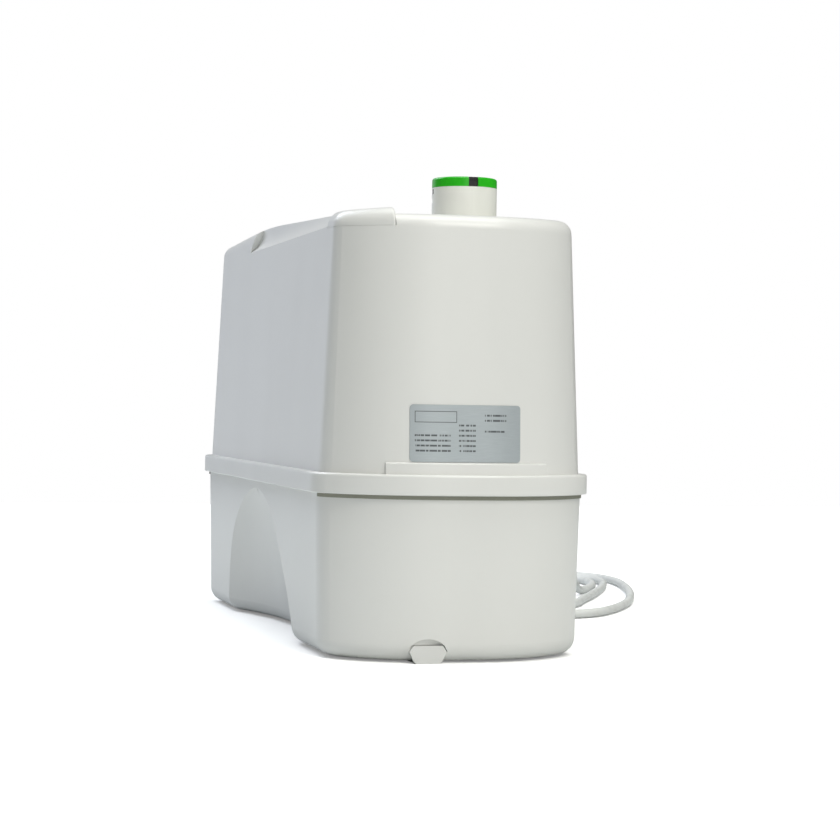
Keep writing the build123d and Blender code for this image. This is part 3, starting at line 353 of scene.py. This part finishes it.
def mould_arch(shell):
    """Draws the arch of a copy of the tank's mesh in, and turns its corner normals to suit."""
    arched = [on_arch(vertex.co) for vertex in shell.vertices]
    normals = [tuple(corner.vector) for corner in shell.corner_normals]
    step = 0.0004
    for face in shell.polygons:
        if all(arched[index] for index in face.vertices):
            for corner in face.loop_indices:
                x, y, z = shell.vertices[shell.loops[corner].vertex_index].co
                z = min(max(z, step), normal_top)
                stretch = (moulded_x(x + step, z) - moulded_x(x - step, z)) / (2 * step)
                lean = (moulded_x(x, z + step) - moulded_x(x, z - step)) / (2 * step)
                along, out, rise = normals[corner]
                turned = Vector((along / stretch, out, rise - lean * along / stretch))
                normals[corner] = tuple(turned.normalized())
    for vertex, moves in zip(shell.vertices, arched):
        if moves:
            height = max(vertex.co.z, 0)
            shallow = min(max((height - fade_from) / fade_over, 0), 1)
            vertex.co.x = moulded_x(vertex.co.x, height)
            vertex.co.y += shallow * (side_foot - side_lean * height - vertex.co.y)
            vertex.co.z -= crown_drop * max((height - crown_from) / crown_over, 0) ** 2
    shell.normals_split_custom_set(normals)


tank_mesh = nodes["tank"].data.copy()
tank_mesh.name = "tank_moulding"
mould_arch(tank_mesh)
tank_mesh.materials.clear()
tank_mesh.materials.append(shell_white.material)
tank_moulding = linked("tank_moulding", tank_mesh)
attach(tank_moulding, "unit")
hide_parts("tank")


# A strip of dark olive grey, a guess, sits close under the skirt round each end of the tank. It is painted
# shade:
# it makes the dark line of the skirt's shadow there. It follows a section through the wall, 2.4 mm high
# and 0.8 mm proud, and its back is open.
end_from = 0.17
end_depth = 0.05
end_turn = 1.5
near_turn = 0.07
outer_share = 0.972
shadow_strip_section = 0.0957
shadow_strip_low = 0.0945
dark_lip = 0.0947
shadow_strip_high = 0.0969
shadow_strip_sunk = 0.0005
shadow_strip_proud = 0.0008


def end_line(form, side):
    """Points of the tank's outer wall round one end, in order, from a cut through its mesh."""
    points = [vertex.co.copy() for vertex in form.verts if side * vertex.co.x > end_from]
    centre = max(side * point.x for point in points) - end_depth
    outer = {}
    for point in points:
        angle = round(math.atan2(point.y, side * point.x - centre), 2)
        reach = math.hypot(point.y, side * point.x - centre)
        if abs(angle) < end_turn and (angle not in outer or reach > outer[angle][0]):
            outer[angle] = (reach, point)
    line = []
    for angle in sorted(outer):
        farthest = max(outer[other][0] for other in outer if abs(other - angle) < near_turn)
        if outer[angle][0] > outer_share * farthest:
            line.append(outer[angle][1])
    return line


def mesh_from(form, name, finish):
    """Ends a bmesh as a mesh with one material."""
    mesh = bpy.data.meshes.new(name)
    form.to_mesh(mesh)
    form.free()
    mesh.materials.append(finish.material)
    return mesh


section = bmesh.new()
section.from_mesh(tank_mesh)
whole = section.verts[:] + section.edges[:] + section.faces[:]
cut = bmesh.ops.bisect_plane(section, geom=whole, plane_co=(0, 0, shadow_strip_section), plane_no=(0, 0, 1))
kept = {piece for piece in cut["geom_cut"] if isinstance(piece, bmesh.types.BMVert)}
bmesh.ops.delete(section, geom=[vertex for vertex in section.verts if vertex not in kept], context="VERTS")
# The painted shade strip under the skirt is built here, row by row round each end.
shadow_strip_form = bmesh.new()
for side in (-1, 1):
    line = end_line(section, side)
    rows = []
    for number, point in enumerate(line):
        along = line[min(number + 1, len(line) - 1)] - line[max(number - 1, 0)]
        out = side * Vector((along.y, -along.x, 0)).normalized()
        near, far = point - shadow_strip_sunk * out, point + shadow_strip_proud * out
        profile = ((near, shadow_strip_low), (far, dark_lip), (far, shadow_strip_high))
        rows.append([shadow_strip_form.verts.new((corner.x, corner.y, height)) for corner, height in profile])
    for first, second in zip(rows, rows[1:]):
        shadow_strip_form.faces.new([first[0], second[0], second[1], first[1]])
        shadow_strip_form.faces.new([first[1], second[1], second[2], first[2]])
section.free()
bmesh.ops.recalc_face_normals(shadow_strip_form, faces=shadow_strip_form.faces)
# Painted shade: this dark olive grey stands in for the skirt's shadow on the tank's ends.
shadow_strip_finish = Finish("painted_shadow_olive", Specular_IOR_Level=0.2)
shadow_strip_finish.colour(shadow_strip_finish.mix(shadow_strip_finish.noise(900.0, 2.0), (0.26, 0.26, 0.215, 1), (0.30, 0.30, 0.25, 1)))
shadow_strip_finish.roughness(0.8)
skirt_shadow_strip = linked("skirt_shadow_strip", mesh_from(shadow_strip_form, "skirt_shadow_strip", shadow_strip_finish))
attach(skirt_shadow_strip, "unit")


# The gasket, the feet, the closet collar, the bung and the sleeve are moulded in black rubber, and so
# are the shaft's seal, the switch's membrane and the valve's flap.
def rubber_finish():
    rubber = Finish("black_rubber", Specular_IOR_Level=0.35)
    bloom = rubber.noise(130.0, 4.0)
    rubber.colour(rubber.mix(bloom.clipped(0.4, 0.85), (0.018, 0.018, 0.019, 1), (0.045, 0.045, 0.044, 1)))
    rubber.roughness(0.5 + 0.2 * bloom)
    rubber.relief(rubber.noise(1600.0, 2.0), 0.00004)
    return rubber


rubber = rubber_finish()
rubber.cover(
    "cover_gasket",
    "foot_pads",
    "closet_collar",
    "drain_plug",
    "spigot_sleeve",
    "shaft_seal",
    "switch_membrane",
    "valve_flap",
)


# The discharge pipe is white polypropylene, as are the gland and its nut. The split ring that holds the
# hose on the pipe is green.
def pipe_finish():
    pale = Finish("pipe_white", Specular_IOR_Level=0.45)
    flow = pale.noise(55.0, 3.0, (1, 1, 0.3))
    pale.colour(pale.mix(flow.clipped(0.3, 0.8), (0.88, 0.885, 0.84, 1), (0.83, 0.84, 0.79, 1)))
    pale.roughness(0.32 + 0.12 * flow)
    pale.relief(pale.noise(1100.0, 2.0), 0.00003)
    return pale


def ring_finish():
    green = Finish("ring_green", Specular_IOR_Level=0.5)
    flow = green.noise(70.0, 2.0)
    green.colour(green.mix(flow.clipped(0.3, 0.8), (0.020, 0.47, 0.010, 1), (0.026, 0.53, 0.014, 1)))
    green.roughness(0.28 + 0.1 * flow)
    green.relief(green.noise(900.0, 2.0), 0.00002)
    return green


pipe_white = pipe_finish()
pipe_white.cover("discharge_spigot", "cable_gland", "gland_nut")
ring_green = ring_finish()
ring_green.cover("lock_ring")


# Black rubber shows in the pipe's head: a key in the ring's gap, which turns with the ring, and the lip
# of the seal in two shallow slots of the pipe. Each is a short arc, pressed in place.
pipe_axis = (0.14, 0.02, 0)
arc_edge = 0.0002


def rubber_arc(name, body, radii, heights, middle, arc):
    """A curved rubber strip about the pipe's axis, round a middle direction in degrees."""
    form = bmesh.new()
    inner, outer = radii
    low, high = heights
    corners = [(inner, low), (outer, low), (outer, high), (inner, high)]
    face = form.faces.new([form.verts.new((radius, 0, height)) for radius, height in corners])
    start = Matrix.Rotation(math.radians(middle - arc / 2), 3, "Z")
    bmesh.ops.rotate(form, verts=form.verts, cent=(0, 0, 0), matrix=start)
    turn = math.radians(arc)
    bmesh.ops.spin(form, geom=[face], cent=(0, 0, 0), axis=(0, 0, 1), angle=turn, steps=8, use_merge=False)
    bmesh.ops.translate(form, verts=form.verts, vec=pipe_axis)
    bmesh.ops.recalc_face_normals(form, faces=form.faces)
    rims = [edge for edge in form.edges if len(edge.link_faces) == 2 and edge.calc_face_angle() > 1]
    bmesh.ops.bevel(form, geom=rims, offset=arc_edge, affect="EDGES", segments=2, profile=0.5, material=-1)
    strip = linked(name, mesh_from(form, name, rubber))
    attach(strip, body)


rubber_arc("ring_key", "hose_ring", (0.01775, 0.0193), (0.28688, 0.28875), 1, 16.5)
rubber_arc("dark_lip", "unit", (0.01805, 0.01975), (0.27895, 0.28205), -105, 35)
rubber_arc("seal_stop", "unit", (0.01805, 0.01965), (0.27375, 0.27625), -105, 20.6)


# The metal pieces: stainless steel for the cutter, the basket, the screws, the bearings, the shaft and
# the collar's band, nickel plate on the plug's pins, cast aluminium round the motor and copper within.
def steel_finish(name, tint, stretch):
    steel = Finish(name, Metallic=1.0)
    grain = steel.noise(260.0, 4.0, stretch)
    steel.colour(steel.mix(grain.clipped(0.3, 0.75), tint, toned(tint, 0.82)))
    steel.roughness(0.26 + 0.22 * grain)
    steel.relief(grain, 0.00003)
    return steel


steel = steel_finish("brushed_steel", (0.62, 0.62, 0.63, 1), (1, 1, 12))
steel.cover(
    "collar_band",
    "band_screw",
    "deck_screws",
    "cutter",
    "cutter_basket",
    "bearings",
    "rotor_shaft",
    "rotor_core",
    "stator_core",
    "motor_screws",
    "flap_pin",
)
nickel = steel_finish("nickel_plate", (0.70, 0.68, 0.63, 1), (1, 4, 1))
nickel.cover("plug_pins")
cast_metal = steel_finish("cast_aluminium", (0.55, 0.56, 0.57, 1), (1, 1, 1))
cast_metal.cover("motor_housing", "motor_bell")
copper = steel_finish("copper_wire", (0.62, 0.27, 0.12, 1), (1, 1, 14))
copper.cover("stator_windings")


# The pump deck, the pump and its pipes, the switch and the terminal box are moulded in matt dark
# plastic. The filter is a block of carbon, darker still.
def inner_finish(name, tint):
    dark = Finish(name, Specular_IOR_Level=0.4)
    flow = dark.noise(45.0, 3.0)
    dark.colour(dark.mix(flow.clipped(0.3, 0.8), tint, toned(tint, 1.25)))
    dark.roughness(0.45 + 0.18 * flow)
    dark.relief(dark.noise(900.0, 2.0), 0.00004)
    return dark


inner_plastic = inner_finish("inner_plastic", (0.05, 0.055, 0.06, 1))
inner_plastic.cover(
    "pump_deck",
    "volute",
    "impeller",
    "riser_pipe",
    "valve_body",
    "pressure_bell",
    "switch_housing",
    "terminal_box",
    "terminal_lid",
)
carbon = inner_finish("carbon_block", (0.012, 0.012, 0.012, 1))
carbon.cover("carbon_filter")


# The rating plate is a self-adhesive silver foil. It carries no words: a blank frame and ruled rows
# stand where such a plate has its data.
row_pitch = 0.00295


def foil_finish():
    foil = Finish("plate_foil", Metallic=0.35)
    grain = foil.noise(180.0, 4.0, (1, 1, 30))
    across = foil.node("SeparateXYZ", {}, {"Vector": foil.place()}, output=1)
    height = foil.node("SeparateXYZ", {}, {"Vector": foil.place()}, output=2)

    def panel(left, right, low, high):
        return across.between(left, right) * height.between(low, high)

    def ruled(left, right, low, rows):
        """Dark rows of broken dashes, one above the other."""
        rows_up = (height - low) * (1 / row_pitch)
        turn = rows_up.maths("FRACT", rows_up)
        return panel(left, right, low, low + rows * row_pitch - 0.001) * (1 - turn.clipped(0.3, 0.42))

    frame_edge = panel(-0.0327, -0.0082, 0.1392, 0.1458) - panel(-0.0323, -0.0086, 0.1396, 0.1454)
    left_rows = ruled(-0.0327, -0.0118, 0.1224, 4)
    middle_rows = ruled(-0.0070, 0.0030, 0.1224, 6)
    right_rows = ruled(0.0085, 0.0216, 0.1401, 2) + ruled(0.0085, 0.0205, 0.1338, 1)
    dashes = foil.noise(1300.0, 1.0, (1, 1, 0.001)).clipped(0.40, 0.46)
    ink = frame_edge + (left_rows + middle_rows + right_rows) * dashes
    silver = foil.mix(grain.clipped(0.3, 0.8), (0.46, 0.505, 0.535, 1), (0.52, 0.565, 0.595, 1))
    foil.colour(foil.mix(ink * 0.85, silver, (0.05, 0.055, 0.06, 1)))
    foil.roughness(0.34 + 0.14 * grain)
    foil.relief(grain, 0.00001)
    return foil


foil_finish().cover("rating_plate")


# The studio: a seamless white sheet, a pale room round it, an overhead light and five soft boxes. The
# sheet throws back less light than it shows, so the shade under the skirt and the foot stays deep.
sheet_half = 1.8
sheet_glow = 0.24
light_aim = Vector((0.05, 0, 0.13))
box_side = 1.2
room_strength = 0.046


def pale_sheet():
    paper = Finish("white_sheet", Specular_IOR_Level=0.0, Emission_Strength=sheet_glow)
    seen = paper.node("LightPath", {}, {})
    paper.colour(paper.mix(seen, (0.70, 0.72, 0.72, 1), (1, 1, 1, 1)))
    paper.feed(paper.shader.inputs["Emission Color"], paper.mix(seen, (0, 0, 0, 1), (1, 1, 1, 1)))
    paper.roughness(0.9)
    return paper


sheet_form = bmesh.new()
bmesh.ops.create_grid(sheet_form, x_segments=1, y_segments=1, size=sheet_half)
studio_floor = linked("studio_floor", mesh_from(sheet_form, "studio_floor", pale_sheet()))


def soft_box(name, place, watts, colour):
    """A square area light that faces the unit."""
    light = bpy.data.lights.new(name, "AREA")
    light.shape = "RECTANGLE"
    light.size = box_side
    light.size_y = box_side
    light.energy = watts
    light.color = colour
    lamp = linked(name, light)
    lamp.location = place
    lamp.rotation_euler = (light_aim - Vector(place)).to_track_quat("-Z", "Y").to_euler()


soft_box("near_end_box", (2.2, 0.6, 2.0), 36.5, (1, 0.985, 0.92))
soft_box("low_end_box", (2.5, 0.0, 0.6), 5, (1, 0.975, 0.92))
soft_box("long_side_box", (-2.3, -1.0, 0.6), 4.2, (0.86, 0.9, 1))
soft_box("high_side_box", (-1.6, -1.0, 1.8), 25.5, (0.84, 0.885, 1))
soft_box("top_box", (0.6, 0.4, 2.4), 7.4, (0.99, 1, 0.99))
overhead = bpy.data.lights.new("overhead", "SUN")
overhead.energy = 1.8
overhead.angle = math.radians(50)
overhead.color = (0.97, 1, 0.965)
linked("overhead", overhead)

room = bpy.data.worlds.new("pale_room")
room.use_nodes = True
room_light = room.node_tree.nodes["Background"]
room_light.inputs["Color"].default_value = (1, 1, 1, 1)
room_light.inputs["Strength"].default_value = room_strength
room_seen = room.node_tree.nodes.new("ShaderNodeBackground")
room_seen.inputs["Color"].default_value = (1, 1, 1, 1)
room_ray = room.node_tree.nodes.new("ShaderNodeLightPath")
room_mix = room.node_tree.nodes.new("ShaderNodeMixShader")
for source, target in (
    (room_ray.outputs["Is Camera Ray"], room_mix.inputs["Fac"]),
    (room_light.outputs["Background"], room_mix.inputs[1]),
    (room_seen.outputs["Background"], room_mix.inputs[2]),
    (room_mix.outputs["Shader"], room.node_tree.nodes["World Output"].inputs["Surface"]),
):
    room.node_tree.links.new(source, target)
bpy.context.scene.world = room
bpy.context.scene.view_settings.view_transform = "Standard"
